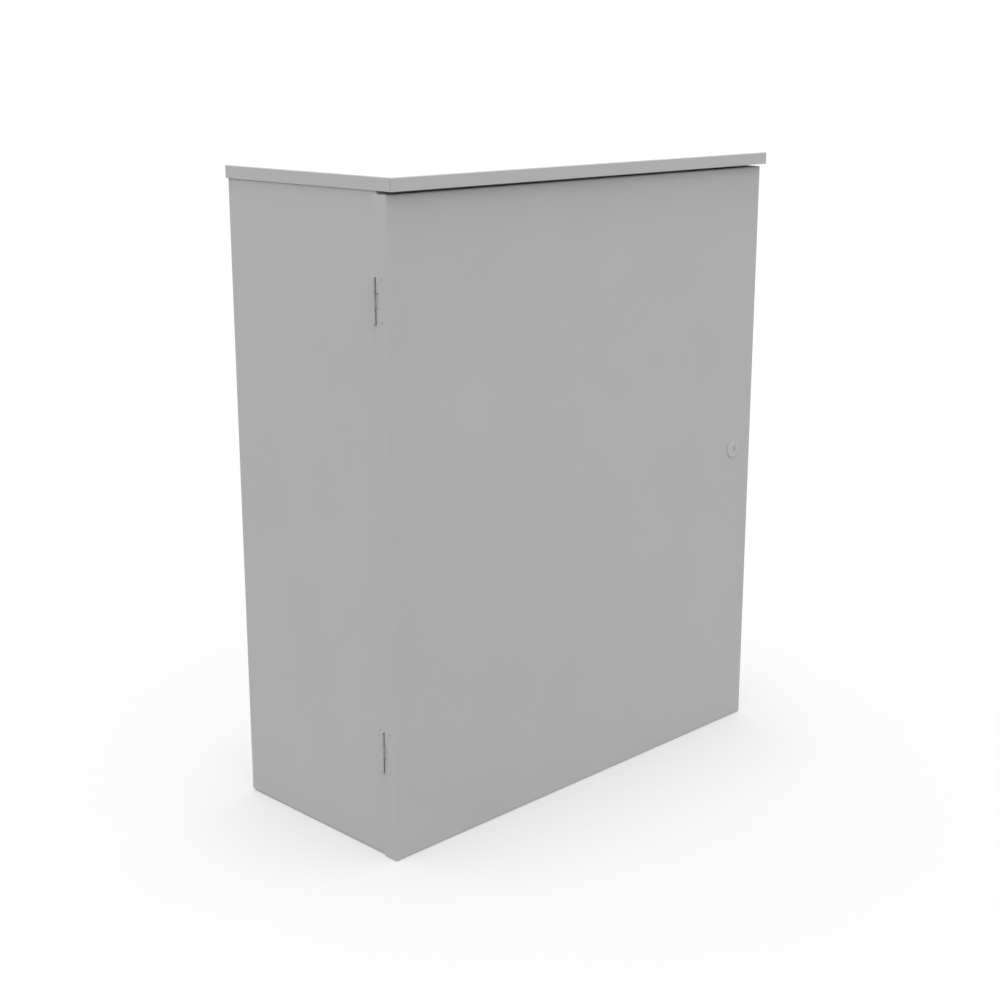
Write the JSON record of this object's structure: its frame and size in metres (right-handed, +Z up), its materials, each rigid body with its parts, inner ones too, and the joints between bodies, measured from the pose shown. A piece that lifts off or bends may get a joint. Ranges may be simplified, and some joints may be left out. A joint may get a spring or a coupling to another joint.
{
  "type": "telephone cabinet",
  "caption": "Grey steel telephone cabinet with a rain hood, a hinged lockable door and a plywood backboard that carries terminal blocks and an earth bar.",
  "frame": {"origin": "middle of the width over the door and of the whole depth, on the floor under the gland plate", "axes": "+X along the door away from the hinges, +Y from the door to the back, +Z up"},
  "size_m": [0.7661, 0.341, 0.918],
  "materials": {
    "grey_paint": "satin powder coat on steel sheet",
    "zinc": "zinc plated",
    "lock_metal": "satin plated die casting",
    "foam": "closed-cell foam rubber",
    "plywood": "sanded plywood",
    "moulding": "moulded",
    "copper": "bare copper bar",
    "red_insulator": "moulded insulator"
  },
  "bodies": {
    "cabinet": {"body_wrapper": "grey_paint", "top_panel": "grey_paint", "bottom_panel": "grey_paint", "rain_hood": "grey_paint", "hood_nuts": "zinc", "gland_plate": "grey_paint", "gland_gasket": "foam", "gland_screws": "zinc", "gland_nuts": "zinc", "backboard": "plywood", "backboard_studs": "zinc", "backboard_washers": "zinc", "backboard_nuts": "zinc", "terminal_block_1": "moulding", "terminal_block_2": "moulding", "terminal_block_3": "moulding", "terminal_block_4": "moulding", "block_bracket_1": "zinc", "block_bracket_2": "zinc", "block_bracket_3": "zinc", "block_bracket_4": "zinc", "bracket_screws": "zinc", "earth_bar": "copper", "earth_post_left": "red_insulator", "earth_post_right": "red_insulator", "earth_bolts": "zinc", "earth_screws": "zinc", "cable_ring_1": "zinc", "cable_ring_2": "zinc", "cable_ring_3": "zinc", "cable_ring_4": "zinc", "ring_screws": "zinc", "upper_body_leaf": "grey_paint", "lower_body_leaf": "grey_paint", "upper_hinge_pin": "grey_paint", "lower_hinge_pin": "grey_paint"},
    "door": {"door_panel": "grey_paint", "door_gasket": "foam", "door_stiffener": "grey_paint", "upper_door_leaf": "grey_paint", "lower_door_leaf": "grey_paint", "hinge_screws": "grey_paint", "lock_housing": "lock_metal", "lock_washer": "foam", "lock_nut": "zinc"},
    "lock": {"lock_plug": "lock_metal", "lock_cam": "zinc", "cam_screw": "zinc"}
  },
  "joints": [
    {"name": "door_hinge", "type": "hinge", "parent": "cabinet", "child": "door", "pos_m": [-0.3825, -0.1355, 0.459], "axis": [0, 0, -1], "range_deg": [0, 170]},
    {"name": "lock_turn", "type": "hinge", "parent": "door", "child": "lock", "pos_m": [0.338, -0.16, 0.459], "axis": [0, 1, 0], "range_deg": [0, 90]}
  ]
}
